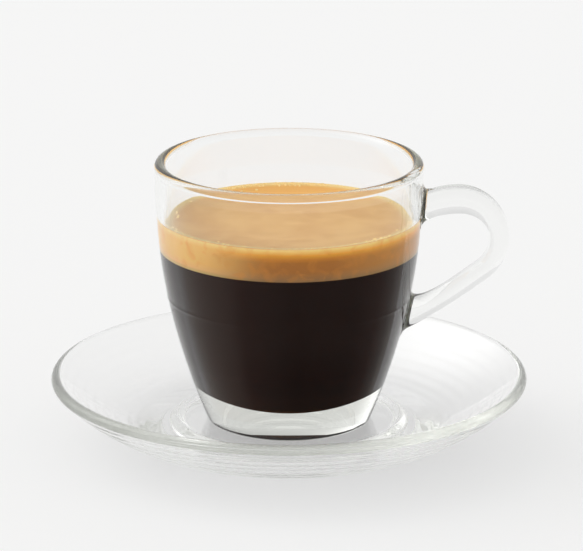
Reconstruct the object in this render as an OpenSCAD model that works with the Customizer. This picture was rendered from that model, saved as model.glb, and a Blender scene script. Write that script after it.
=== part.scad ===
// Double espresso in a clear glass cup with a handle, standing on its clear glass saucer.
// The origin is the middle of the saucer's foot, on the surface it stands on.
// +Z is up, and the handle points along +X.

/* [Cup] */
// Height of the cup, from its foot to the top of the lip
cup_h = 64.7; // [56:0.1:80]
// Outer diameter of the bowl at its widest
bowl_d = 63.9; // [56:0.1:78]
// Outer diameter of the bowl at its foot
base_d = 39.6; // [32:0.1:48]
// Wall thickness at the lip
wall = 2.3; // [1.8:0.1:3.2]
// Wall thickness beside the bottom of the coffee
low_wall = 3.2; // [2.4:0.1:4.2]
// Solid glass under the middle of the coffee
base_t = 6.6; // [5:0.1:10]
// Distance from the top of the lip down to the widest height of the bowl
bowl_drop = 11.7; // [9:0.1:16]
// How quickly the bowl widens: 1 is a cone, 2 is a round bowl
bowl_curve = 1.8; // [1.4:0.1:2.2]
// How far the rounded lip stands out past the bowl
lip_flare = 0.55; // [0.2:0.05:1]
// How far the lip's rounding stands out past the glass just below it
lip_step = 0.1; // [0:0.05:0.2]
// Radius of the dished bottom inside
bottom_r = 32; // [30:1:70]
// Rounding inside, between the bottom and the wall
corner_r = 5.5; // [3:0.1:7]
// Width of the flat ring that the cup stands on
foot_w = 1.6; // [1:0.1:3]
// Rounding round the outside of the foot
foot_round = 1.1; // [0.6:0.1:1.6]
// Height of the hollow under the cup, beside its foot ring
punt_edge = 0.8; // [0.4:0.1:1.2]
// Height of the hollow under the cup, in the middle
punt_h = 2; // [1.2:0.1:3]

/* [Handle] */
// How far the handle stands out from the bowl
handle_out = 21.35; // [18:0.05:28]
// Distance from the top of the lip down to the top of the handle
handle_drop = 6.15; // [4:0.05:9]
// Radius of the round bend, at the middle of the glass
loop_r = 9.8; // [8:0.1:12]
// Depth of the upper arm, seen from the side
arm_w = 6.9; // [5:0.1:8]
// Depth of the handle at its outer side
side_w = 4.9; // [4:0.1:7]
// Depth of the lower leg, seen from the side
leg_w = 4.8; // [4:0.1:7]
// Slope of the lower leg
leg_angle = 36; // [28:1:42]
// Drop of the lower joint below the middle of the bend
leg_drop = 18; // [16:0.1:20]
// Height of the upper joint on the wall
arm_root = 10.5; // [8:0.1:12]
// Height of the lower joint on the wall
leg_root = 12; // [9:0.1:14]
// Thickness of the handle, across
handle_t = 6.6; // [5:0.1:9]

/* [Coffee] */
// Distance from the top of the lip down to the edge of the crema
headroom = 13.5; // [11:0.1:20]
// Thickness of the crema at the wall
crema_t = 8.2; // [3:0.1:10]
// How much lower the crema lies in the middle than at the wall
crema_dip = 0.6; // [0:0.1:1.2]

/* [Saucer] */
// Outer diameter of the saucer
saucer_d = 116; // [96:1:140]
// Height of the well floor, where the cup stands
seat_h = 5.2; // [4.4:0.1:7]
// Thickness of the flange
flange_t = 2.7; // [2.2:0.1:3.2]
// Radius of the flange's sweep, on its underside
sweep_r = 57; // [50:1:70]
// Diameter of the foot ring, at its outside
saucer_foot_d = 64; // [58:1:68]
// Slope of the underside where the flange leaves the foot ring
foot_slope = 14.4; // [12:0.1:18]
// Width of the foot ring
saucer_foot_w = 3.6; // [3:0.1:5]
// Height of the hollow inside the foot ring
saucer_punt = 1.3; // [0.8:0.1:2]
// Play between the cup's foot and the ridge round the well
well_play = 5.4; // [3:0.1:7]
// Width of the ridge round the well
ridge_w = 4.2; // [3:0.1:5]
// Height of the ridge above the well floor
ridge_h = 1.1; // [0.6:0.1:1.6]
// How much lower the moat outside the ridge lies than the well floor
moat_drop = 0.4; // [0.2:0.1:0.8]

/* [Hidden] */
turn_fn = 180;

// How many straight steps stand for each curve of an outline.
outside_n = 26;
inside_n = 14;
edge_n = 4;
lip_n = 16;
dish_n = 8;
corner_n = 8;
punt_n = 8;
foot_n = 5;
crema_n = 10;
sweep_n = 18;
rim_n = 10;
ridge_n = 8;
arm_n = 8;
loop_n = 16;
leg_n = 12;
section_n = 16;

bowl_r = bowl_d / 2;
inner_r = bowl_r - wall;
base_r = base_d / 2;
bowl_h = cup_h - bowl_drop;
lip_r = (wall + lip_flare) / 2;
lip_x = inner_r + lip_r;
lip_y = cup_h - lip_r;
lip_start = -acos((bowl_r + lip_flare - lip_step - lip_x) / lip_r);
crema_h = cup_h - headroom;
coffee_h = crema_h - crema_t;

saucer_r = saucer_d / 2;
saucer_foot_r = saucer_foot_d / 2;
well_r = base_r + well_play;
moat_h = seat_h - moat_drop;
foot_edge = 0.5;
foot_step = 0.3;
sweep_c = [
    saucer_foot_r - sweep_r * sin(foot_slope),
    foot_step + sweep_r * cos(foot_slope)
];
sweep_mid = sweep_r - flange_t / 2;
rim_r = flange_t / 2;
rim_angle = asin((saucer_r - rim_r - sweep_c.x) / sweep_mid);
moat_angle = acos((sweep_c.y - moat_h) / (sweep_r - flange_t));

function lerp(a, b, t) = a + (b - a) * t;
function smooth(t) = t * t * (3 - 2 * t);
function arc(c, r, a0, a1, n) = [for (i = [0 : n]) c + r * [cos(lerp(a0, a1, i / n)), sin(lerp(a0, a1, i / n))]];
function bezier(a, b, c, d, t) =
    a * pow(1 - t, 3) + 3 * b * t * pow(1 - t, 2) + 3 * c * t * t * (1 - t) + d * pow(t, 3);

// The outside swells a little more towards the lip: it starts this far below the height where the
// bowl is widest, and takes this long.
swell_lead = 3;
swell_run = 7;
function swell_at(h) = (lip_flare - lip_step) * smooth(max(0, min(1, (h - bowl_h + swell_lead) / swell_run)));

// Radius of the bowl's outside at a height above the cup's foot.
function outer_at(h) =
    bowl_r - (bowl_r - base_r) * pow(max(0, bowl_h - h) / bowl_h, bowl_curve) + swell_at(h);
function outer_tilt(h) = atan2(outer_at(h + 1) - outer_at(h - 1), 2);

// Radius of the bowl's inside, which the coffee and the crema share.
inner_base_r = outer_at(base_t) - low_wall;
function inner_at(h) = h < bowl_h
    ? inner_r - (inner_r - inner_base_r) * pow((bowl_h - h) / (bowl_h - base_t), bowl_curve)
    : inner_r;
function inner_slope(h) = atan2(inner_at(h + 0.1) - inner_at(h - 0.1), 0.2);
function inner_wall(h0, h1, n) = [for (i = [0 : n]) [inner_at(lerp(h0, h1, i / n)), lerp(h0, h1, i / n)]];

// The dished bottom and the rounded corner inside. The corner's arc touches the wall at corner_h
// and the dish from within, and halving finds that height.
dish_c = [0, base_t + bottom_r];
corner_reach = 25;
corner_halvings = 24;
function corner_at(h) = let (tilt = inner_slope(h))
    [inner_at(h) - corner_r * cos(tilt), h + corner_r * sin(tilt)];
function meeting(low, high, n) = let (middle = (low + high) / 2)
    n == 0 ? middle
    : norm(corner_at(middle) - dish_c) > bottom_r - corner_r ? meeting(middle, high, n - 1)
    : meeting(low, middle, n - 1);
corner_h = meeting(base_t, base_t + corner_reach, corner_halvings);
corner_c = corner_at(corner_h);
dish_end = atan2(corner_c.y - dish_c.y, corner_c.x);
dish = arc(dish_c, bottom_r, -90, dish_end, dish_n);
corner = arc(corner_c, corner_r, dish_end, -inner_slope(corner_h), corner_n);
inside_bottom = concat([for (i = [1 : dish_n - 1]) dish[i]], corner);

module turned(points, up = 0) {
    translate([0, 0, up])
        rotate_extrude($fn = turn_fn)
            polygon(points);
}

// The foot's rounding touches the outside of the bowl and the ring that the cup stands on.
foot_tilt = outer_tilt(foot_round);
foot_out_r = outer_at(foot_round * (1 - sin(foot_tilt))) - foot_round * cos(foot_tilt);
foot_in_r = foot_out_r - foot_w;
foot_corner = arc([foot_out_r, foot_round], foot_round, -90, -foot_tilt, foot_n);

// The hollow under the cup: a low dome that ends at the foot ring.
punt = [for (i = [0 : punt_n]) [
    (foot_in_r - punt_edge) * i / punt_n,
    lerp(punt_h, punt_edge, pow(i / punt_n, 2))
]];

module bowl() {
    outside = [for (i = [1 : outside_n - 1])
        let (h = lerp(foot_round, lip_y + lip_r * sin(lip_start), i / outside_n)) [outer_at(h), h]];
    lip = arc([lip_x, lip_y], lip_r, lip_start, 180, lip_n);
    inside = concat(
        inside_bottom,
        [for (i = [1 : inside_n]) inner_wall(corner_h, coffee_h, inside_n)[i]],
        inner_wall(coffee_h, crema_h, edge_n),
        inner_wall(crema_h, lip_y, edge_n)
    );
    turned(concat(
        punt,
        [[foot_in_r, 0]],
        foot_corner,
        outside,
        lip,
        [for (i = [len(inside) - 2 : -1 : 0]) inside[i]],
        [[0, base_t]]
    ), seat_h);
}

// The handle's centre line and its sections, in the plane of the cup's axis. A section is its
// middle, the direction from the inner to the outer outline, and half its depth that way.
loop_c = [bowl_r + handle_out - side_w / 2 - loop_r, cup_h - handle_drop - arm_w / 2 - loop_r];
loop_end = leg_angle - 90;
// The upper arm's middle falls by this much towards the wall, because it widens downwards.
arm_fall = 1.9;
arm_h = loop_c.y + loop_r - arm_fall;
leg_h = loop_c.y - leg_drop;
// Where each curve leaves the wall for, and how far it runs straight into the bend.
arm_lead = [3, 0.4];
arm_run = 4.5;
leg_lead = [5, -0.9];
leg_run = 10;
// How late each arm widens towards its joint: a higher power is later.
arm_late = 6;
leg_late = 5;
// Share of the bend in which the upper arm's depth turns into that of the outer side.
side_share = 0.6;
function wall_mid(h) = (outer_at(h) + inner_at(h)) / 2;

arm_from = [wall_mid(arm_h), arm_h];
arm_to = loop_c + [0, loop_r];
leg_from = loop_c + loop_r * [cos(loop_end), sin(loop_end)];
leg_to = [wall_mid(leg_h), leg_h];
leg_way = [-cos(leg_angle), -sin(leg_angle)];
leg_turn = -90 - outer_tilt(leg_h);

function arm_section(t) = [
    bezier(arm_from, arm_from + arm_lead, arm_to - [arm_run, 0], arm_to, t),
    90,
    lerp(arm_w, arm_root, pow(1 - t, arm_late)) / 2
];
function loop_width(t) = t < side_share
    ? lerp(arm_w, side_w, smooth(t / side_share))
    : lerp(side_w, leg_w, smooth((t - side_share) / (1 - side_share)));
function loop_section(t) = let (a = lerp(90, loop_end, t)) [
    loop_c + loop_r * [cos(a), sin(a)],
    a,
    loop_width(t) / 2
];
function leg_section(t) = [
    bezier(leg_from, leg_from + leg_run * leg_way, leg_to + leg_lead, leg_to, t),
    lerp(loop_end, leg_turn, pow(t, 2)),
    lerp(leg_w, leg_root, pow(t, leg_late)) / 2
];
sections = concat(
    [for (i = [0 : arm_n]) arm_section(i / arm_n)],
    [for (i = [1 : loop_n]) loop_section(i / loop_n)],
    [for (i = [1 : leg_n]) leg_section(i / leg_n)]
);

// Each section is a rounded oblong, flat on its broad faces. A power of 1 is an ellipse, and a
// lower one is squarer.
section_power = 0.72;
function power(v, p) = sign(v) * pow(abs(v), p);
function ring(s) = [for (i = [0 : section_n - 1])
    let (
        a = 360 * i / section_n,
        along = s[2] * power(cos(a), section_power),
        across = handle_t / 2 * power(sin(a), section_power)
    )
    [s[0].x + along * cos(s[1]), across, s[0].y + along * sin(s[1])]];

module handle() {
    rings = len(sections);
    points = [for (s = sections) each ring(s)];
    sides = [for (j = [0 : rings - 2], i = [0 : section_n - 1])
        let (
            a = j * section_n + i,
            b = j * section_n + (i + 1) % section_n
        )
        each [[a, b, b + section_n], [a, b + section_n, a + section_n]]];
    first = [for (i = [section_n - 1 : -1 : 0]) i];
    last = [for (i = [0 : section_n - 1]) (rings - 1) * section_n + i];
    translate([0, 0, seat_h])
        polyhedron(points, concat(sides, [first, last]));
}

module cup() {
    color([0.86, 0.9, 0.88, 0.4])
        union() {
            bowl();
            handle();
        }
}

module coffee() {
    color([0.12, 0.08, 0.07])
        turned(concat(
            [[0, base_t]],
            inside_bottom,
            [for (i = [1 : inside_n]) inner_wall(corner_h, coffee_h, inside_n)[i]],
            [[0, coffee_h]]
        ), seat_h);
}

// The crema's top is flat in the middle and rises at the wall: a higher power rises later.
crema_late = 6;

module crema() {
    edge_r = inner_at(crema_h);
    top = [for (i = [crema_n - 1 : -1 : 0]) [
        edge_r * i / crema_n,
        crema_h - crema_dip * (1 - pow(i / crema_n, crema_late))
    ]];
    color([0.85, 0.64, 0.38])
        turned(concat(
            [[0, coffee_h]],
            inner_wall(coffee_h, crema_h, edge_n),
            top
        ), seat_h);
}

module saucer() {
    foot_in = saucer_foot_r - saucer_foot_w;
    underside = concat(
        [[0, saucer_punt], [foot_in - saucer_punt, saucer_punt], [foot_in, foot_step]],
        [[foot_in + foot_edge, 0], [saucer_foot_r - foot_edge, 0]],
        arc(sweep_c, sweep_r, foot_slope - 90, rim_angle - 90, sweep_n)
    );
    rim_c = sweep_c + sweep_mid * [sin(rim_angle), -cos(rim_angle)];
    rim = arc(rim_c, rim_r, rim_angle - 90, rim_angle + 90, rim_n);
    flange = arc(sweep_c, sweep_r - flange_t, rim_angle - 90, moat_angle - 90, sweep_n);
    ridge = [for (i = [ridge_n : -1 : 0])
        let (t = i / ridge_n) [
            well_r + ridge_w * t,
            lerp(seat_h, moat_h, smooth(t)) + ridge_h * pow(sin(180 * t), 2)
        ]];
    color([0.86, 0.9, 0.89, 0.4])
        turned(concat(
            underside,
            [for (i = [1 : rim_n - 1]) rim[i]],
            flange,
            ridge,
            [[0, seat_h]]
        ));
}

saucer();
cup();
coffee();
crema();
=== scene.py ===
# Double espresso: a clear pressed-glass cup on its saucer, filled with coffee under a layer of crema.
# Sizes in the dictionaries are millimetres unless a note says otherwise; meshes are in metres.
import math
import random

import bmesh
import bpy
from mathutils import Matrix, Vector, noise


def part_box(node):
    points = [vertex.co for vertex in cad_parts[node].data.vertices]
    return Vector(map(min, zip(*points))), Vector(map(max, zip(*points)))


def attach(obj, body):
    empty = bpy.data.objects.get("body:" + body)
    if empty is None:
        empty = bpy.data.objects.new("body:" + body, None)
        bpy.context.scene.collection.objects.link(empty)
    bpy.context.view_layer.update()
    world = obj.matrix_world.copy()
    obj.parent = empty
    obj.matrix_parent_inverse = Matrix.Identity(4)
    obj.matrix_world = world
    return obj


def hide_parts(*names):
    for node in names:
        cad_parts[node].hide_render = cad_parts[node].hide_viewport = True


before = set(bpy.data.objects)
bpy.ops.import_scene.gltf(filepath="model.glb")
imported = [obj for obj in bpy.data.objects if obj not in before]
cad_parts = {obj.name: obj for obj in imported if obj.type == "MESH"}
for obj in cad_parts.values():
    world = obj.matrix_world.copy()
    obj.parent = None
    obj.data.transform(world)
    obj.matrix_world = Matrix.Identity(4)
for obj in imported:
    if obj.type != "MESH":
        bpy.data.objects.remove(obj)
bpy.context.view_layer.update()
print("frame loaded:", sorted(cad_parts))

mm = 0.001
scene = bpy.context.scene

sharpFrom = math.radians(40)  # an edge that turns by more than this stays sharp

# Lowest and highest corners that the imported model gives, in millimetres.
cupLow, cupHigh = (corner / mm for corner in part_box("cup"))
cremaLow, cremaHigh = (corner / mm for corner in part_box("crema"))
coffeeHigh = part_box("coffee")[1] / mm
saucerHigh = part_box("saucer")[1] / mm


def lerp(a, b, t):
    return a + (b - a) * t


def smooth(t):
    t = max(0.0, min(1.0, t))
    return t * t * (3 - 2 * t)


def arcPoints(centre, radius, start, end, steps):
    # start and end in degrees, in the plane of radius and height
    points = []
    for i in range(steps + 1):
        angle = math.radians(lerp(start, end, i / steps))
        points.append((centre[0] + radius * math.cos(angle), centre[1] + radius * math.sin(angle)))
    return points


def bezierPoint(a, b, c, d, t):
    s = 1 - t
    return a * s ** 3 + b * (3 * t * s * s) + c * (3 * t * t * s) + d * t ** 3


def newObject(name, mesh):
    obj = bpy.data.objects.new(name, mesh)
    scene.collection.objects.link(obj)
    return obj


def meshFrom(name, bm):
    mesh = bpy.data.meshes.new(name)
    bm.to_mesh(mesh)
    bm.free()
    mesh.shade_smooth()
    mesh.set_sharp_from_angle(angle=sharpFrom)
    return mesh


def spinProfile(points, lift, steps):
    # Turns an outline (radius, height) once round Z and closes it at its poles.
    bm = bmesh.new()
    verts = [bm.verts.new((r * mm, 0, (z + lift) * mm)) for r, z in points]
    edges = [bm.edges.new(pair) for pair in zip(verts, verts[1:])]
    bmesh.ops.spin(bm, geom=verts + edges, cent=(0, 0, 0), axis=(0, 0, 1), dvec=(0, 0, 0),
                   angle=2 * math.pi, steps=steps, use_merge=True, use_normal_flip=False)
    bmesh.ops.remove_doubles(bm, verts=bm.verts, dist=0.0005 * mm)
    bmesh.ops.recalc_face_normals(bm, faces=bm.faces)
    return bm


def linearColour(hexText):
    # sRGB hex to the linear colour that a socket takes
    values = [int(hexText[i:i + 2], 16) / 255 for i in (1, 3, 5)]
    linear = [v / 12.92 if v <= 0.04045 else ((v + 0.055) / 1.055) ** 2.4 for v in values]
    return (*linear, 1.0)


def addNode(tree, kind, inputs=None, **settings):
    # One node with its settings. An input is named, or numbered where several share a name. One that
    # is given as a socket is linked, and any other is a value.
    node = tree.nodes.new(kind)
    for name, value in settings.items():
        setattr(node, name, value)
    for name, value in (inputs or {}).items():
        if isinstance(value, bpy.types.NodeSocket):
            tree.links.new(value, node.inputs[name])
        else:
            node.inputs[name].default_value = value
    return node


def newMaterial(name):
    material = bpy.data.materials.new(name)
    material.use_nodes = True
    material.node_tree.nodes.clear()
    return material, material.node_tree


def rampNode(tree, factor, stops):
    # stops: (position, hex colour), from low to high
    ramp = addNode(tree, "ShaderNodeValToRGB", {"Fac": factor})
    elements = ramp.color_ramp.elements
    while len(elements) < len(stops):
        elements.new(0.5)
    for element, (position, colour) in zip(elements, stops):
        element.position = position
        element.color = linearColour(colour)
    return ramp


def mirroredAtGrazing(tree, shader, ior, share):
    # Light that runs along inside the glass is thrown back where it meets something of lower index.
    fresnel = addNode(tree, "ShaderNodeFresnel", {"IOR": ior})
    limited = addNode(tree, "ShaderNodeMath", {0: fresnel.outputs["Fac"], 1: share}, operation="MULTIPLY")
    mirror = addNode(tree, "ShaderNodeBsdfGlossy", {"Color": (1, 1, 1, 1), "Roughness": 0.0})
    mix = addNode(tree, "ShaderNodeMixShader", {
        "Fac": limited.outputs["Value"],
        1: shader,
        2: mirror.outputs["BSDF"],
    })
    return mix.outputs["Shader"]


# The camera looks a little down at the cup from the front, through a long lens.
camera = {
    "aim": (0.0006, 0.0, 0.041),  # metres
    "distance": 0.970,  # metres
    "elevation": 16.52,  # degrees above the table
    "lens": 246.9,
    "sensor": 36.0,
    "farthest": 20,  # metres
}
cameraData = bpy.data.cameras.new("camera")
cameraData.lens = camera["lens"]
cameraData.sensor_width = camera["sensor"]
cameraData.clip_end = camera["farthest"]
cameraObject = newObject("camera", cameraData)
tilt = math.radians(camera["elevation"])
towards = Vector((0, -math.cos(tilt), math.sin(tilt)))
cameraObject.location = Vector(camera["aim"]) + towards * camera["distance"]
cameraObject.rotation_euler = (math.pi / 2 - tilt, 0, 0)
scene.camera = cameraObject


# Soda-lime glass, pressed in a mould and fire-polished: clear and colourless face on, with a grey-green
# tint where one looks along it, sharp reflections, and long shallow waves left by the mould.
glass = {
    "ior": 1.5,
    "tint": "#CDD2C2",
    "waveSize": 9.0,
    "waveDepth": 0.004,
}


def makeGlass(name, tintDensity):
    # tintDensity is per metre
    material, tree = newMaterial(name)
    coords = addNode(tree, "ShaderNodeTexCoord")
    waves = addNode(tree, "ShaderNodeTexNoise", {
        "Vector": coords.outputs["Object"],
        "Scale": 1 / (glass["waveSize"] * mm),
        "Detail": 1.0,
    })
    bump = addNode(tree, "ShaderNodeBump", {
        "Height": waves.outputs["Fac"],
        "Strength": 1.0,
        "Distance": glass["waveDepth"] * mm,
    })
    surface = addNode(tree, "ShaderNodeBsdfPrincipled", {
        "Base Color": (1, 1, 1, 1),
        "Roughness": 0.0,
        "IOR": glass["ior"],
        "Transmission Weight": 1.0,
        "Normal": bump.outputs["Normal"],
    })
    inside = addNode(tree, "ShaderNodeVolumeAbsorption", {
        "Color": linearColour(glass["tint"]),
        "Density": tintDensity,
    })
    addNode(tree, "ShaderNodeOutputMaterial", {
        "Surface": surface.outputs["BSDF"],
        "Volume": inside.outputs["Volume"],
    })
    return material


cup = {
    "bowlRadius": 31.95,
    "baseRadius": 19.8,
    "wall": 2.3,
    "lowWall": 3.2,
    "baseThick": 6.6,
    "widestBelowLip": 11.7,
    "curve": 1.8,
    "lipFlare": 0.55,
    "lipStep": 0.1,
    "lipFillet": 0.5,
    "swellLead": 3.0,
    "swellRun": 7.0,
    "dishRadius": 32.0,
    "cornerRadius": 5.5,
    "footWidth": 1.6,
    "footRound": 1.1,
    "footInnerRound": 0.45,
    "puntEdge": 0.8,
    "puntHeight": 2.0,
    "mouldLineHeight": 31.4,
    "mouldLineDepth": 0.1,
    "mouldLineWidth": 0.8,
    "mouldLineStep": 0.2,  # between the outline's points there
    "mouldLineReach": 5,  # steps to either side of the line
    "cornerSearch": 25.0,  # the wall begins within this height above the bottom
    "halvings": 30,
    "puntSteps": 24,
    "wallSteps": 80,
    "insideSteps": 60,
    "tintDensity": 11.0,
    "standsAbove": 0.015,  # so that the glass faces of cup and saucer don't coincide
    "turnSteps": 256,
}
seat = cupLow.z
cupHeight = cupHigh.z - seat
bowlTop = cupHeight - cup["widestBelowLip"]
innerRadius = cup["bowlRadius"] - cup["wall"]
lipRadius = (cup["wall"] + cup["lipFlare"]) / 2
lipCentre = (innerRadius + lipRadius, cupHeight - lipRadius)
cremaEdge = cremaHigh.z - seat
coffeeEdge = coffeeHigh.z - seat
swell = cup["lipFlare"] - cup["lipStep"]


def outerAt(h):
    # radius of the bowl's outside at a height above its foot
    drop = (max(0.0, bowlTop - h) / bowlTop) ** cup["curve"]
    rise = smooth((h - bowlTop + cup["swellLead"]) / cup["swellRun"])
    return cup["bowlRadius"] - (cup["bowlRadius"] - cup["baseRadius"]) * drop + swell * rise


innerBaseRadius = outerAt(cup["baseThick"]) - cup["lowWall"]


def innerAt(h):
    if h >= bowlTop:
        return innerRadius
    drop = ((bowlTop - h) / (bowlTop - cup["baseThick"])) ** cup["curve"]
    return innerRadius - (innerRadius - innerBaseRadius) * drop


def tiltOf(radiusAt, h):
    # how far the wall leans out from upright there, in degrees
    return math.degrees(math.atan2(radiusAt(h + 0.1) - radiusAt(h - 0.1), 0.2))


def cornerAt(h):
    # middle of the rounding that touches the inside wall at this height
    lean = math.radians(tiltOf(innerAt, h))
    radius = cup["cornerRadius"]
    return (innerAt(h) - radius * math.cos(lean), h + radius * math.sin(lean))


def insideBottom(reach):
    # The dished bottom and the rounding that joins it to the wall, both grown by reach into the
    # glass: their points from the middle outwards, and the height where the wall begins.
    dish = (0, cup["baseThick"] + cup["dishRadius"])
    low = cup["baseThick"]
    high = low + cup["cornerSearch"]
    for _ in range(cup["halvings"]):
        h = (low + high) / 2
        if math.dist(cornerAt(h), dish) > cup["dishRadius"] - cup["cornerRadius"]:
            low = h
        else:
            high = h
    corner = cornerAt(high)
    turn = math.degrees(math.atan2(corner[1] - dish[1], corner[0]))
    points = arcPoints(dish, cup["dishRadius"] + reach, -90, turn, 40)[:-1]
    points += arcPoints(corner, cup["cornerRadius"] + reach, turn, -tiltOf(innerAt, high), 24)
    return points, high


def mouldLine(h):
    # the faint ridge where the two halves of the mould met
    offset = (h - cup["mouldLineHeight"]) / cup["mouldLineWidth"]
    return cup["mouldLineDepth"] * math.exp(-offset * offset * 4)


def cupOutline():
    footTilt = math.radians(tiltOf(outerAt, cup["footRound"]))
    footTop = cup["footRound"] * (1 - math.sin(footTilt))
    footOut = outerAt(footTop) - cup["footRound"] * math.cos(footTilt)
    footIn = footOut - cup["footWidth"]
    puntRadius = footIn - cup["puntEdge"]

    points = []
    for i in range(cup["puntSteps"] + 1):
        t = i / cup["puntSteps"]
        points.append((puntRadius * t, lerp(cup["puntHeight"], cup["puntEdge"], t * t)))
    points += arcPoints((footIn + 0.1, cup["footInnerRound"]), cup["footInnerRound"], 205, 270, 8)
    points += arcPoints((footOut, cup["footRound"]), cup["footRound"], -90, -math.degrees(footTilt), 12)

    neckRadius = cup["bowlRadius"] + swell
    fillet = cup["lipFillet"]
    filletX = neckRadius + fillet
    filletDrop = math.sqrt((lipRadius + fillet) ** 2 - (filletX - lipCentre[0]) ** 2)
    filletCentre = (filletX, lipCentre[1] - filletDrop)
    steps = cup["wallSteps"]
    heights = [lerp(footTop, filletCentre[1], i / steps) for i in range(1, steps + 1)]
    reach = cup["mouldLineReach"]
    line = [cup["mouldLineHeight"] + cup["mouldLineStep"] * i for i in range(-reach, reach + 1)]
    heights = [h for h in heights if not line[0] <= h <= line[-1]]
    for h in sorted(heights + line):
        points.append((outerAt(h) + mouldLine(h), h))
    lipStart = math.degrees(math.atan2(-filletDrop, filletX - lipCentre[0]))
    points += arcPoints(filletCentre, fillet, 180, 180 + lipStart, 6)[1:]
    points += arcPoints(lipCentre, lipRadius, lipStart, 180, 30)[1:]

    bottom, wallFoot = insideBottom(0)
    steps = cup["insideSteps"]
    for i in range(1, steps):
        h = lerp(lipCentre[1], wallFoot, i / steps)
        points.append((innerAt(h), h))
    points += reversed(bottom)
    return points


handle = {
    "armWidth": 6.9,
    "sideWidth": 4.9,
    "legWidth": 4.8,
    "thick": 6.6,
    "loopRadius": 9.8,
    "drop": 6.15,
    "legAngle": 36.0,
    "legDrop": 18.0,
    "armRoot": 10.5,
    "legRoot": 12.0,
    "armFall": 1.9,
    "armLead": (3.0, 0.4),
    "armRun": 4.5,
    "legLead": (5.0, -0.9),
    "legRun": 10.0,
    "armLate": 6,
    "legLate": 5,
    "sideShare": 0.6,
    "sectionPower": 0.72,
    "rootFillet": 1.3,
    "ringPoints": 40,
    "armSteps": 36,
    "loopSteps": 56,
    "legSteps": 48,
    "crowding": 1.5,  # above 1, sections stand closer together towards the wall
}


def handleSections():
    # Each section: its middle, the way from the inner to the outer outline, and half its depth.
    reach = cupHigh.x
    loop = Vector((reach - handle["sideWidth"] / 2 - handle["loopRadius"],
                   cupHeight - handle["drop"] - handle["armWidth"] / 2 - handle["loopRadius"]))
    loopEnd = handle["legAngle"] - 90
    armHeight = loop.y + handle["loopRadius"] - handle["armFall"]
    legHeight = loop.y - handle["legDrop"]
    armFrom = Vector(((outerAt(armHeight) + innerAt(armHeight)) / 2, armHeight))
    armTo = loop + Vector((0, handle["loopRadius"]))
    endAngle = math.radians(loopEnd)
    legFrom = loop + handle["loopRadius"] * Vector((math.cos(endAngle), math.sin(endAngle)))
    legTo = Vector(((outerAt(legHeight) + innerAt(legHeight)) / 2, legHeight))
    legSlope = math.radians(handle["legAngle"])
    legWay = Vector((-math.cos(legSlope), -math.sin(legSlope)))
    legTurn = -90 - tiltOf(outerAt, legHeight)

    sections = []
    for i in range(handle["armSteps"] + 1):
        t = (i / handle["armSteps"]) ** handle["crowding"]
        middle = bezierPoint(armFrom, armFrom + Vector(handle["armLead"]),
                             armTo - Vector((handle["armRun"], 0)), armTo, t)
        width = lerp(handle["armWidth"], handle["armRoot"], (1 - t) ** handle["armLate"])
        sections.append((middle, 90, width / 2))
    share = handle["sideShare"]
    for i in range(1, handle["loopSteps"] + 1):
        t = i / handle["loopSteps"]
        angle = lerp(90, loopEnd, t)
        if t < share:
            width = lerp(handle["armWidth"], handle["sideWidth"], smooth(t / share))
        else:
            width = lerp(handle["sideWidth"], handle["legWidth"], smooth((t - share) / (1 - share)))
        turn = math.radians(angle)
        middle = loop + handle["loopRadius"] * Vector((math.cos(turn), math.sin(turn)))
        sections.append((middle, angle, width / 2))
    for i in range(1, handle["legSteps"] + 1):
        t = 1 - (1 - i / handle["legSteps"]) ** handle["crowding"]
        middle = bezierPoint(legFrom, legFrom + handle["legRun"] * legWay,
                             legTo + Vector(handle["legLead"]), legTo, t)
        width = lerp(handle["legWidth"], handle["legRoot"], t ** handle["legLate"])
        sections.append((middle, lerp(loopEnd, legTurn, t * t), width / 2))
    return sections


def rounded(value):
    # turns a circle into an oblong with rounded corners; a power of 1 would leave it round
    return math.copysign(abs(value) ** handle["sectionPower"], value)


def rootPush(x, y, h):
    # how far the fillet at the joint stands out from the plain section there
    radius = handle["rootFillet"]
    lean = math.radians(tiltOf(outerAt, min(h, bowlTop - 1)))
    away = (math.hypot(x, y) - outerAt(h)) * math.cos(lean)
    if away >= radius:
        return 0.0
    gap = radius - max(away, 0.0)
    return radius - math.sqrt(radius * radius - gap * gap)


def makeHandle():
    bm = bmesh.new()
    rings = []
    for middle, direction, half in handleSections():
        turn = math.radians(direction)
        ring = bmesh.ops.create_circle(bm, segments=handle["ringPoints"], radius=1)["verts"]
        for vert in ring:
            along = half * rounded(vert.co.x)
            across = handle["thick"] / 2 * rounded(vert.co.y)
            x = middle.x + along * math.cos(turn)
            h = middle.y + along * math.sin(turn)
            push = rootPush(x, across, h)
            if push > 0:
                scale = 1 + push / math.hypot(along, across)
                along *= scale
                across *= scale
            vert.co = Vector((middle.x + along * math.cos(turn), across,
                              middle.y + along * math.sin(turn) + seat)) * mm
        rings.append(ring)
    edgeSets = []
    for ring in rings:
        edgeSets.append(list({e for v in ring for e in v.link_edges}))
    for first, second in zip(edgeSets, edgeSets[1:]):
        bmesh.ops.bridge_loops(bm, edges=first + second)
    for edges in (edgeSets[0], edgeSets[-1]):
        bmesh.ops.contextual_create(bm, geom=edges)
    bmesh.ops.recalc_face_normals(bm, faces=bm.faces)
    return bm


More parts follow.
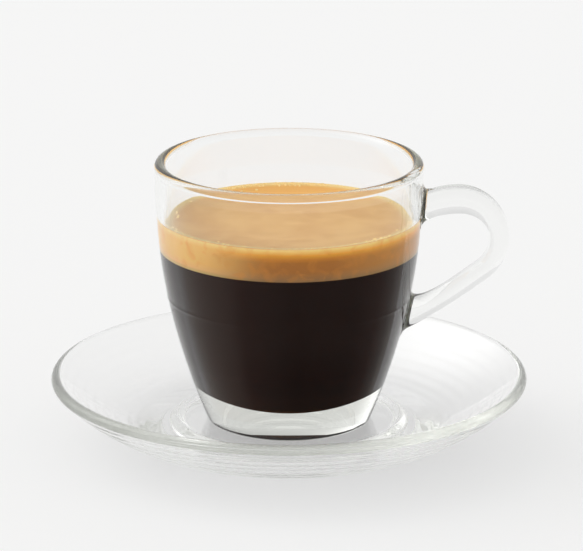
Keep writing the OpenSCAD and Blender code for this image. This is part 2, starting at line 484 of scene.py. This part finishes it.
bowlObject = newObject("bowlWork", meshFrom("bowl", spinProfile(cupOutline(), seat + cup["standsAbove"],
                                                               cup["turnSteps"])))
handleObject = newObject("handleWork", meshFrom("handle", makeHandle()))
join = bowlObject.modifiers.new("join", "BOOLEAN")
join.operation = "UNION"
join.solver = "EXACT"
join.object = handleObject
bpy.context.view_layer.update()
joined = bowlObject.evaluated_get(bpy.context.evaluated_depsgraph_get())
cupMesh = bpy.data.meshes.new_from_object(joined)
bpy.data.objects.remove(bowlObject)
bpy.data.objects.remove(handleObject)
cupMesh.name = "cupGlass"
cupMesh.shade_smooth()
cupMesh.set_sharp_from_angle(angle=sharpFrom)
cupObject = newObject("cupGlass", cupMesh)
cupMesh.materials.clear()
cupMesh.materials.append(makeGlass("sodaLimeGlass", cup["tintDensity"]))
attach(cupObject, "root")
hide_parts("cup")
print("cup made:", len(cupMesh.polygons), "faces")


saucer = {
    "seatHeight": 5.2,
    "flangeThick": 2.7,
    "sweepRadius": 57.0,
    "footRadius": 32.0,
    "footSlope": 14.4,
    "footWidth": 3.6,
    "footRound": 0.7,
    "footStep": 0.3,  # from the table up to where the sweep leaves the foot
    "footInset": 1.2,  # of the middle of the foot's outer rounding
    "punt": 1.3,
    "puntRound": 1.2,
    "puntInset": 1.6,  # of the middle of the rounding between the hollow and the foot
    "wellPlay": 5.4,
    "ridgeWidth": 4.2,
    "ridgeHeight": 1.1,
    "moatDrop": 0.4,
    "moatFillet": 12.0,
    "pressedRings": 9,
    "ringDepth": 0.03,
    "ringsFadeIn": 3,  # they reach full depth a third of the way out
    "ringsFadeOut": 8,  # and fade over the last eighth
    "sweepSteps": 160,
    "ridgeSteps": 44,
    "tintDensity": 5.0,
    "turnSteps": 280,
}


def saucerOutline():
    thick = saucer["flangeThick"]
    underRadius = saucer["sweepRadius"]
    overRadius = underRadius - thick
    slope = math.radians(saucer["footSlope"])
    centre = (saucer["footRadius"] - underRadius * math.sin(slope),
              saucer["footStep"] + underRadius * math.cos(slope))
    moat = saucer["seatHeight"] - saucer["moatDrop"]
    rimAngle = math.degrees(math.asin((saucerHigh.x - thick / 2 - centre[0]) / (underRadius - thick / 2)))
    footIn = saucer["footRadius"] - saucer["footWidth"]
    curl = saucer["footRound"]
    puntRound = saucer["puntRound"]

    points = [(0, saucer["punt"])]
    points += arcPoints((footIn - saucer["puntInset"], saucer["punt"] - puntRound), puntRound, 90, 35, 8)
    points += arcPoints((footIn + curl * 0.8, curl), curl, 215, 270, 8)
    points += arcPoints((saucer["footRadius"] - saucer["footInset"], curl), curl,
                        -90, -90 + saucer["footSlope"] + 16, 6)
    for i in range(saucer["sweepSteps"] + 1):
        t = i / saucer["sweepSteps"]
        angle = math.radians(lerp(saucer["footSlope"] - 90 + 0.4, rimAngle - 90, t))
        fade = smooth(t * saucer["ringsFadeIn"]) * smooth((1 - t) * saucer["ringsFadeOut"])
        wave = math.sin(2 * math.pi * saucer["pressedRings"] * t) * fade
        r = underRadius + saucer["ringDepth"] * wave
        points.append((centre[0] + r * math.cos(angle), centre[1] + r * math.sin(angle)))
    turn = math.radians(rimAngle)
    middle = underRadius - thick / 2
    rimCentre = (centre[0] + middle * math.sin(turn), centre[1] - middle * math.cos(turn))
    points += arcPoints(rimCentre, thick / 2, rimAngle - 90, rimAngle + 90, 40)[1:]
    fillet = saucer["moatFillet"]
    filletX = centre[0] + math.sqrt((overRadius - fillet) ** 2 - (centre[1] - moat - fillet) ** 2)
    bend = math.degrees(math.asin((filletX - centre[0]) / (overRadius - fillet)))
    points += arcPoints(centre, overRadius, rimAngle - 90, bend - 90, 60)[1:]
    points += arcPoints((filletX, moat + fillet), fillet, bend - 90, -90, 16)[1:]

    wellRadius = cup["baseRadius"] + saucer["wellPlay"]
    for i in range(saucer["ridgeSteps"], -1, -1):
        t = i / saucer["ridgeSteps"]
        ridge = saucer["ridgeHeight"] * math.sin(math.pi * t) ** 2
        points.append((wellRadius + saucer["ridgeWidth"] * t,
                       lerp(saucer["seatHeight"], moat, smooth(t)) + ridge))
    points.append((0, saucer["seatHeight"]))
    return points


saucerMesh = meshFrom("saucerGlass", spinProfile(saucerOutline(), 0, saucer["turnSteps"]))
saucerObject = newObject("saucerGlass", saucerMesh)
saucerMesh.materials.append(makeGlass("sodaLimeGlassSaucer", saucer["tintDensity"]))
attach(saucerObject, "root")
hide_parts("saucer")
print("saucer made:", len(saucerMesh.polygons), "faces")


# Brewed espresso: water with fine coffee solids, so dark that only its thinnest edges show brown. It
# wets the glass, so it reaches just into the wall and no air gap shows. Against glass it mirrors almost
# nothing face on, and everything at grazing angles: its IOR is that of water over that of glass.
coffee = {
    "reach": 0.15,
    "stops": [(0.0, "#5A3417"), (0.2, "#2C1509"), (1.0, "#220A03")],
    "edgeHeight": 7.0,
    "iorAgainstGlass": 0.887,
    "mirrorFrom": 18.0,  # above the cup's foot: lower down it would ring the dished bottom with light
    "mirrorFade": 8.0,
    "wallSteps": 60,
    "turnSteps": 256,
}


def coffeeOutline():
    points, wallFoot = insideBottom(coffee["reach"])
    for i in range(1, coffee["wallSteps"] + 1):
        h = lerp(wallFoot, coffeeEdge, i / coffee["wallSteps"])
        points.append((innerAt(h) + coffee["reach"], h))
    points.append((0, coffeeEdge))
    return points


def makeCoffee():
    material, tree = newMaterial("brewedEspresso")
    coords = addNode(tree, "ShaderNodeTexCoord")
    split = addNode(tree, "ShaderNodeSeparateXYZ", {"Vector": coords.outputs["Object"]})
    lowest = (seat + cup["baseThick"]) * mm
    height = addNode(tree, "ShaderNodeMapRange", {
        "Value": split.outputs["Z"],
        "From Min": lowest,
        "From Max": lowest + coffee["edgeHeight"] * mm,
    })
    colour = rampNode(tree, height.outputs["Result"], coffee["stops"])
    surface = addNode(tree, "ShaderNodeBsdfPrincipled", {
        "Base Color": colour.outputs["Color"],
        "Roughness": 0.5,
        "Specular IOR Level": 0.0,
    })
    mirrorShare = addNode(tree, "ShaderNodeMapRange", {
        "Value": split.outputs["Z"],
        "From Min": (seat + coffee["mirrorFrom"]) * mm,
        "From Max": (seat + coffee["mirrorFrom"] + coffee["mirrorFade"]) * mm,
    })
    seen = mirroredAtGrazing(tree, surface.outputs["BSDF"], coffee["iorAgainstGlass"],
                             mirrorShare.outputs["Result"])
    addNode(tree, "ShaderNodeOutputMaterial", {"Surface": seen})
    return material


coffeeMesh = meshFrom("coffeeDrink", spinProfile(coffeeOutline(), seat, coffee["turnSteps"]))
coffeeObject = newObject("coffeeDrink", coffeeMesh)
coffeeMesh.materials.append(makeCoffee())
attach(coffeeObject, "root")
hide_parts("coffee")
print("coffee made")


# Crema: a dense foam of coffee oil and gas, poured by the machine. Pale and matte on top with faint
# brown marbling, and browner where it is wet against the wall. Its side also has light and shade painted
# into its colour: paler at the left and towards the top where light comes through, browner in the middle.
crema = {
    "reach": 0.15,
    "dip": 0.6,
    "dipLate": 6,
    "marblingDepth": 0.03,
    "marblingSize": 9.0,
    "calmRim": 3.0,  # the marbling's waves die away over this width at the wall
    "wallSteps": 20,
    "ringSteps": 80,
    "turnSteps": 256,
    # Colours up the side, from the coffee to the top: painted light where the foam is lit through, and
    # painted shade where not. Both grow paler towards the top, partly as painted light from above and
    # partly as the foam's own browner wet base.
    "paintedLitStops": [(0.0, "#B99F62"), (0.12, "#DEAE6C"), (0.3, "#E6B566"), (0.8, "#E9BA6E"),
                 (0.985, "#F6D08C"), (1.0, "#BC8F57")],
    "paintedShadeStops": [(0.0, "#84633C"), (0.16, "#986732"), (0.3, "#9F6426"), (0.58, "#A3651F"),
                  (0.68, "#BC751E"), (0.8, "#DD9B30"), (0.9, "#F4C168"), (0.985, "#FBD28A"),
                  (1.0, "#B98A50")],
    # Across the piece, by its X: the painted light colours take over from the painted shade ones at the
    # left, and partly at the right.
    "leftLit": (-3.0, -24.0),  # across, from where the light through the left side starts to its full share
    "rightLit": (10.0, 30.0),
    "rightLitShare": 0.3,
    "streak": "#C9822F",
    "streakSize": 3.5,
    "streakRange": (0.5, 0.75),  # of the noise: how much of the side is streaked
    "streakShare": 0.45,
    "paintedGlow": 0.42,
    "iorAgainstGlass": 0.8,
    "topStops": [(0.35, "#EBB672"), (0.65, "#F6C680")],
    "farColour": "#EDB05C",
    "farRange": (12.0, 24.0),  # away from the middle, towards the back
    "farShare": 0.85,
    "farPaintedGlow": 0.3,
    "froth": "#FFE29C",
    "frothWidth": 3.2,
    "poreSize": 0.35,
    "poreDepth": 0.03,
}


cremaRadius = innerAt(cremaEdge)


def cremaTop(t):
    # height of the top, this share of the way from its middle to the wall
    return cremaEdge - crema["dip"] * (1 - t ** crema["dipLate"])


def cremaOutline():
    steps = crema["wallSteps"]
    heights = [lerp(coffeeEdge, cremaEdge, i / steps) for i in range(steps + 1)]
    wall = [(innerAt(h) + crema["reach"], h) for h in heights]
    top = []
    for i in range(crema["ringSteps"], -1, -1):
        t = i / crema["ringSteps"]
        top.append((cremaRadius * t, cremaTop(t)))
    return [(0, coffeeEdge)] + wall + top


def makeFoam():
    bm = spinProfile(cremaOutline(), seat, crema["turnSteps"])
    touch = 0.01  # mm, within which a point counts as on the top
    for vert in bm.verts:
        x, y, z = (c / mm for c in vert.co)
        radius = math.hypot(x, y)
        if z > seat + cremaTop(0) - touch and radius < cremaRadius + touch:
            place = Vector((x, y, 0)) / crema["marblingSize"]
            inward = smooth((cremaRadius - radius) / crema["calmRim"])
            vert.co.z += noise.fractal(place, 1.0, 2.0, 3) * crema["marblingDepth"] * inward * mm
    return meshFrom("cremaFoam", bm)


def makeCrema():
    material, tree = newMaterial("espressoCrema")
    coords = addNode(tree, "ShaderNodeTexCoord")
    place = coords.outputs["Object"]
    split = addNode(tree, "ShaderNodeSeparateXYZ", {"Vector": place})
    height = addNode(tree, "ShaderNodeMapRange", {
        "Value": split.outputs["Z"],
        "From Min": cremaLow.z * mm,
        "From Max": cremaHigh.z * mm,
    })
    # The side's colours carry painted light and shade: the lit ramp at the left, the shaded ramp in the
    # middle.
    paintedLitSide = rampNode(tree, height.outputs["Result"], crema["paintedLitStops"])
    paintedShadeSide = rampNode(tree, height.outputs["Result"], crema["paintedShadeStops"])
    leftPaintedLightShare = addNode(tree, "ShaderNodeMapRange", {
        "Value": split.outputs["X"],
        "From Min": crema["leftLit"][0] * mm,
        "From Max": crema["leftLit"][1] * mm,
    }, interpolation_type="SMOOTHSTEP")
    rightPaintedLightShare = addNode(tree, "ShaderNodeMapRange", {
        "Value": split.outputs["X"],
        "From Min": crema["rightLit"][0] * mm,
        "From Max": crema["rightLit"][1] * mm,
        "To Max": crema["rightLitShare"],
    })
    paintedLightShare = addNode(tree, "ShaderNodeMath", {
        0: leftPaintedLightShare.outputs["Result"],
        1: rightPaintedLightShare.outputs["Result"],
    }, operation="MAXIMUM")
    sideWithPaintedLight = addNode(tree, "ShaderNodeMix", {
        "Factor": paintedLightShare.outputs["Value"],
        "A": paintedShadeSide.outputs["Color"],
        "B": paintedLitSide.outputs["Color"],
    }, data_type="RGBA")
    streaks = addNode(tree, "ShaderNodeTexNoise", {
        "Vector": place,
        "Scale": 1 / (crema["streakSize"] * mm),
        "Detail": 4.0,
        "Distortion": 0.8,
    })
    streakShare = addNode(tree, "ShaderNodeMapRange", {
        "Value": streaks.outputs["Fac"],
        "From Min": crema["streakRange"][0],
        "From Max": crema["streakRange"][1],
        "To Max": crema["streakShare"],
    })
    streaked = addNode(tree, "ShaderNodeMix", {
        "Factor": streakShare.outputs["Result"],
        "A": sideWithPaintedLight.outputs["Result"],
        "B": linearColour(crema["streak"]),
    }, data_type="RGBA")
    marbling = addNode(tree, "ShaderNodeTexNoise", {
        "Vector": place,
        "Scale": 1 / (crema["marblingSize"] * mm),
        "Detail": 3.0,
        "Distortion": 0.5,
    })
    marbled = rampNode(tree, marbling.outputs["Fac"], crema["topStops"])
    flat = addNode(tree, "ShaderNodeVectorMath", {0: place, 1: (1, 1, 0)}, operation="MULTIPLY")
    radius = addNode(tree, "ShaderNodeVectorMath", {0: flat.outputs["Vector"]}, operation="LENGTH")
    edgeShare = addNode(tree, "ShaderNodeMapRange", {
        "Value": radius.outputs["Value"],
        "From Min": (cremaRadius - crema["frothWidth"]) * mm,
        "From Max": cremaRadius * mm,
    }, interpolation_type="SMOOTHSTEP")
    farShare = addNode(tree, "ShaderNodeMapRange", {
        "Value": split.outputs["Y"],
        "From Min": crema["farRange"][0] * mm,
        "From Max": crema["farRange"][1] * mm,
        "To Max": crema["farShare"],
    }, interpolation_type="SMOOTHSTEP")
    # Towards the back the top is browner.
    brownerTowardsBack = addNode(tree, "ShaderNodeMix", {
        "Factor": farShare.outputs["Result"],
        "A": marbled.outputs["Color"],
        "B": linearColour(crema["farColour"]),
    }, data_type="RGBA")
    frothed = addNode(tree, "ShaderNodeMix", {
        "Factor": edgeShare.outputs["Result"],
        "A": brownerTowardsBack.outputs["Result"],
        "B": linearColour(crema["froth"]),
    }, data_type="RGBA")
    geometry = addNode(tree, "ShaderNodeNewGeometry")
    facing = addNode(tree, "ShaderNodeSeparateXYZ", {"Vector": geometry.outputs["Normal"]})
    # 1 on the top, whose faces look up, and 0 on the side
    onTop = addNode(tree, "ShaderNodeMapRange", {
        "Value": facing.outputs["Z"],
        "From Min": 0.3,
        "From Max": 0.8,
    })
    mix = addNode(tree, "ShaderNodeMix", {
        "Factor": onTop.outputs["Result"],
        "A": streaked.outputs["Result"],
        "B": frothed.outputs["Result"],
    }, data_type="RGBA")
    # Foam carries light inside, from its lit top out through its side: a faint painted glow stands for
    # that. Towards the back of the top the painted glow is stronger.
    sideGlow = addNode(tree, "ShaderNodeMapRange", {
        "Value": onTop.outputs["Result"],
        "To Min": crema["paintedGlow"],
        "To Max": 0.0,
    })
    paintedGlow = addNode(tree, "ShaderNodeMath", {
        0: farShare.outputs["Result"],
        1: crema["farPaintedGlow"],
        2: sideGlow.outputs["Result"],
    }, operation="MULTIPLY_ADD")
    pores = addNode(tree, "ShaderNodeTexVoronoi", {
        "Vector": place,
        "Scale": 1 / (crema["poreSize"] * mm),
    })
    bump = addNode(tree, "ShaderNodeBump", {
        "Height": pores.outputs["Distance"],
        "Strength": 0.5,
        "Distance": crema["poreDepth"] * mm,
    })
    surface = addNode(tree, "ShaderNodeBsdfPrincipled", {
        "Base Color": mix.outputs["Result"],
        "Roughness": 0.55,
        "IOR": 1.33,
        "Emission Color": mix.outputs["Result"],
        "Emission Strength": paintedGlow.outputs["Value"],
        "Normal": bump.outputs["Normal"],
    })
    onSide = addNode(tree, "ShaderNodeMapRange", {
        "Value": onTop.outputs["Result"],
        "To Min": 1.0,
        "To Max": 0.0,
    })
    seen = mirroredAtGrazing(tree, surface.outputs["BSDF"], crema["iorAgainstGlass"],
                             onSide.outputs["Result"])
    addNode(tree, "ShaderNodeOutputMaterial", {"Surface": seen})
    return material


cremaMesh = makeFoam()
cremaObject = newObject("cremaFoam", cremaMesh)
cremaMesh.materials.append(makeCrema())
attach(cremaObject, "root")
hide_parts("crema")
print("crema made")


# Larger bubbles that the pour leaves at the wall: thin amber skins of coffee oil, with a painted glow.
bubbles = {
    "seed": 7,
    "count": 150,
    "radius": (0.16, 0.42),
    "finer": 0.8,  # share of that size, all round the wall
    "inward": 0.5,  # mean distance from the wall
    "sunk": 0.25,  # share of its radius by which a bubble's middle lies under the top
    "farRow": (72.0, 122.0),  # degrees round from the handle
    "farCount": 110,
    "farInward": 0.7,
    "cluster": -44.0,
    "clusterSpread": 4.0,
    "clusterCount": 26,
    "skin": "#FFE09A",
    "paintedGlow": 0.22,
}


def makeBubbles():
    random.seed(bubbles["seed"])
    bm = bmesh.new()
    spots = []
    for _ in range(bubbles["count"]):
        spots.append((random.uniform(0, 360), random.expovariate(1 / bubbles["inward"]),
                      random.uniform(*bubbles["radius"]) * bubbles["finer"]))
    for _ in range(bubbles["farCount"]):
        spots.append((random.uniform(*bubbles["farRow"]), random.expovariate(1 / bubbles["farInward"]),
                      random.uniform(*bubbles["radius"])))
    for _ in range(bubbles["clusterCount"]):
        spots.append((random.gauss(bubbles["cluster"], bubbles["clusterSpread"]),
                      random.expovariate(1 / bubbles["inward"]), random.uniform(*bubbles["radius"])))
    for angle, inward, radius in spots:
        turn = math.radians(angle)
        r = cremaRadius - radius - inward
        z = seat + cremaTop(r / cremaRadius) - radius * bubbles["sunk"]
        place = Matrix.Translation((r * math.cos(turn) * mm, r * math.sin(turn) * mm, z * mm))
        bmesh.ops.create_icosphere(bm, subdivisions=2, radius=radius * mm, matrix=place)
    return meshFrom("cremaBubbles", bm)


def makeSkin():
    material, tree = newMaterial("coffeeOilSkin")
    surface = addNode(tree, "ShaderNodeBsdfPrincipled", {
        "Base Color": linearColour(bubbles["skin"]),
        "Roughness": 0.12,
        "IOR": 1.4,
        "Emission Color": linearColour(bubbles["skin"]),
        "Emission Strength": bubbles["paintedGlow"],
    })
    addNode(tree, "ShaderNodeOutputMaterial", {"Surface": surface.outputs["BSDF"]})
    return material


bubbleMesh = makeBubbles()
bubbleObject = newObject("cremaBubbles", bubbleMesh)
bubbleMesh.materials.append(makeSkin())
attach(bubbleObject, "root")
print("bubbles made:", len(bubbleMesh.polygons), "faces")


studio = {
    "floorSize": 6.0,  # metres
    "floorGap": 0.02,  # below the saucer's foot, so that the two don't coincide
    "floor": "#A2A2A1",
    "floorGlow": 0.57,
    "horizon": 0.82,
    "zenith": 0.64,
    "frontShare": 0.85,
    "frontRange": (-0.9, 0.2),  # from straight in front to past the side
    "lobeFrom": (-0.75, 0.25, 0.62),
    "lobePower": 8.0,
    "lobe": 2.0,
    "cardGap": 1.5,
    "cardSpan": 65.0,  # degrees to either side of the front
    "cardHeights": (3.0, 60.0),
    "cardColumns": 120,
    "cardRows": 24,
    # Painted brightness across the reflection card, from the left end to the right end.
    "cardStops": [(0.02, "#FFFFFF"), (0.08, "#E8E0DA"), (0.15, "#D6C8C0"), (0.22, "#C6B6AE"),
                  (0.27, "#BAA8A1"), (0.33, "#96837D"), (0.44, "#7C7470"), (0.52, "#66625F"),
                  (0.76, "#686461"), (0.86, "#80736F"), (0.935, "#9C9692"), (1.0, "#CAC6C2")],
}


def makeFloor():
    # A pale acrylic sheet, lit from below as well, so that shadows on it stay faint.
    material, tree = newMaterial("acrylicSheet")
    surface = addNode(tree, "ShaderNodeBsdfPrincipled", {
        "Base Color": linearColour(studio["floor"]),
        "Roughness": 0.8,
        "Specular IOR Level": 0.2,
        "Emission Color": (1, 1, 1, 1),
        "Emission Strength": studio["floorGlow"],
    })
    addNode(tree, "ShaderNodeOutputMaterial", {"Surface": surface.outputs["BSDF"]})
    return material


bm = bmesh.new()
bmesh.ops.create_grid(bm, x_segments=1, y_segments=1, size=studio["floorSize"] / 2)
floorMesh = meshFrom("floor", bm)
floorObject = newObject("floor", floorMesh)
floorObject.location = (0, 0, -studio["floorGap"] * mm)
floorMesh.materials.append(makeFloor())


def makeRoom():
    # The room: bright at the horizon, dimmer overhead, with one broad soft light from the left.
    world = bpy.data.worlds.new("studio")
    world.use_nodes = True
    tree = world.node_tree
    tree.nodes.clear()
    coords = addNode(tree, "ShaderNodeTexCoord")
    way = coords.outputs["Generated"]
    split = addNode(tree, "ShaderNodeSeparateXYZ", {"Vector": way})
    upness = addNode(tree, "ShaderNodeMapRange", {
        "Value": split.outputs["Z"],
        "To Min": studio["horizon"],
        "To Max": studio["zenith"],
    })
    frontness = addNode(tree, "ShaderNodeMapRange", {
        "Value": split.outputs["Y"],
        "From Min": studio["frontRange"][0],
        "From Max": studio["frontRange"][1],
        "To Min": studio["frontShare"],
        "To Max": 1.0,
    })
    sky = addNode(tree, "ShaderNodeMath", {
        0: upness.outputs["Result"],
        1: frontness.outputs["Result"],
    }, operation="MULTIPLY")
    towardsLobe = addNode(tree, "ShaderNodeVectorMath", {
        0: way,
        1: Vector(studio["lobeFrom"]).normalized(),
    }, operation="DOT_PRODUCT")
    positive = addNode(tree, "ShaderNodeMath", {
        0: towardsLobe.outputs["Value"],
        1: 0.0,
    }, operation="MAXIMUM")
    narrow = addNode(tree, "ShaderNodeMath", {
        0: positive.outputs["Value"],
        1: studio["lobePower"],
    }, operation="POWER")
    light = addNode(tree, "ShaderNodeMath", {
        0: narrow.outputs["Value"],
        1: studio["lobe"],
        2: sky.outputs["Value"],
    }, operation="MULTIPLY_ADD")
    background = addNode(tree, "ShaderNodeBackground", {
        "Color": (1, 1, 1, 1),
        "Strength": light.outputs["Value"],
    })
    addNode(tree, "ShaderNodeOutputWorld", {"Surface": background.outputs["Background"]})
    return world


scene.world = makeRoom()


def makeCard():
    # A graded, glowing card curved round the front of the cup: a painted reflection. Only reflections
    # see it, and only on the side that faces the glass: it gives the dark glass its soft dark middle and
    # its pale left side, as painted reflection.
    bm = bmesh.new()
    low, high = studio["cardHeights"]
    bmesh.ops.create_grid(bm, x_segments=studio["cardColumns"], y_segments=studio["cardRows"], size=1)
    for vert in bm.verts:
        turn = math.radians(-90 + studio["cardSpan"] * vert.co.x)
        h = lerp(low, high, (vert.co.y + 1) / 2)
        r = outerAt(h) + studio["cardGap"]
        vert.co = Vector((r * math.cos(turn), r * math.sin(turn), h + seat)) * mm
    bmesh.ops.recalc_face_normals(bm, faces=bm.faces)
    bm.faces.ensure_lookup_table()
    middle = bm.faces[0].calc_center_median()
    if bm.faces[0].normal.dot(Vector((middle.x, middle.y, 0))) > 0:
        bmesh.ops.reverse_faces(bm, faces=bm.faces)
    return meshFrom("gradedCard", bm)


def makeReflectionGlow():
    # A glow with its brightness painted on, brightest at its left end and darkest to the right of the
    # middle.
    material, tree = newMaterial("paintedReflectionCard")
    coords = addNode(tree, "ShaderNodeTexCoord")
    split = addNode(tree, "ShaderNodeSeparateXYZ", {"Vector": coords.outputs["Object"]})
    forward = addNode(tree, "ShaderNodeMath", {0: split.outputs["Y"], 1: -1.0}, operation="MULTIPLY")
    angle = addNode(tree, "ShaderNodeMath", {
        0: split.outputs["X"],
        1: forward.outputs["Value"],
    }, operation="ARCTAN2")
    across = addNode(tree, "ShaderNodeMapRange", {
        "Value": angle.outputs["Value"],
        "From Min": -math.radians(studio["cardSpan"]),
        "From Max": math.radians(studio["cardSpan"]),
    })
    paintedBrightness = rampNode(tree, across.outputs["Result"], studio["cardStops"])
    light = addNode(tree, "ShaderNodeEmission", {"Color": paintedBrightness.outputs["Color"], "Strength": 1.0})
    clear = addNode(tree, "ShaderNodeBsdfTransparent")
    geometry = addNode(tree, "ShaderNodeNewGeometry")
    oneSided = addNode(tree, "ShaderNodeMixShader", {
        "Fac": geometry.outputs["Backfacing"],
        1: light.outputs["Emission"],
        2: clear.outputs["BSDF"],
    })
    addNode(tree, "ShaderNodeOutputMaterial", {"Surface": oneSided.outputs["Shader"]})
    return material


cardMesh = makeCard()
cardObject = newObject("gradedCard", cardMesh)
cardMesh.materials.append(makeReflectionGlow())
cardObject.visible_camera = False
cardObject.visible_diffuse = False
cardObject.visible_transmission = False
cardObject.visible_volume_scatter = False
cardObject.visible_shadow = False

scene.view_settings.view_transform = "Standard"
scene.view_settings.look = "None"
# Light runs far round inside a glass rim before it leaves, so the limits on bounces are high.
scene.cycles.max_bounces = 40
scene.cycles.transmission_bounces = 36
scene.cycles.glossy_bounces = 36
print("stage made")
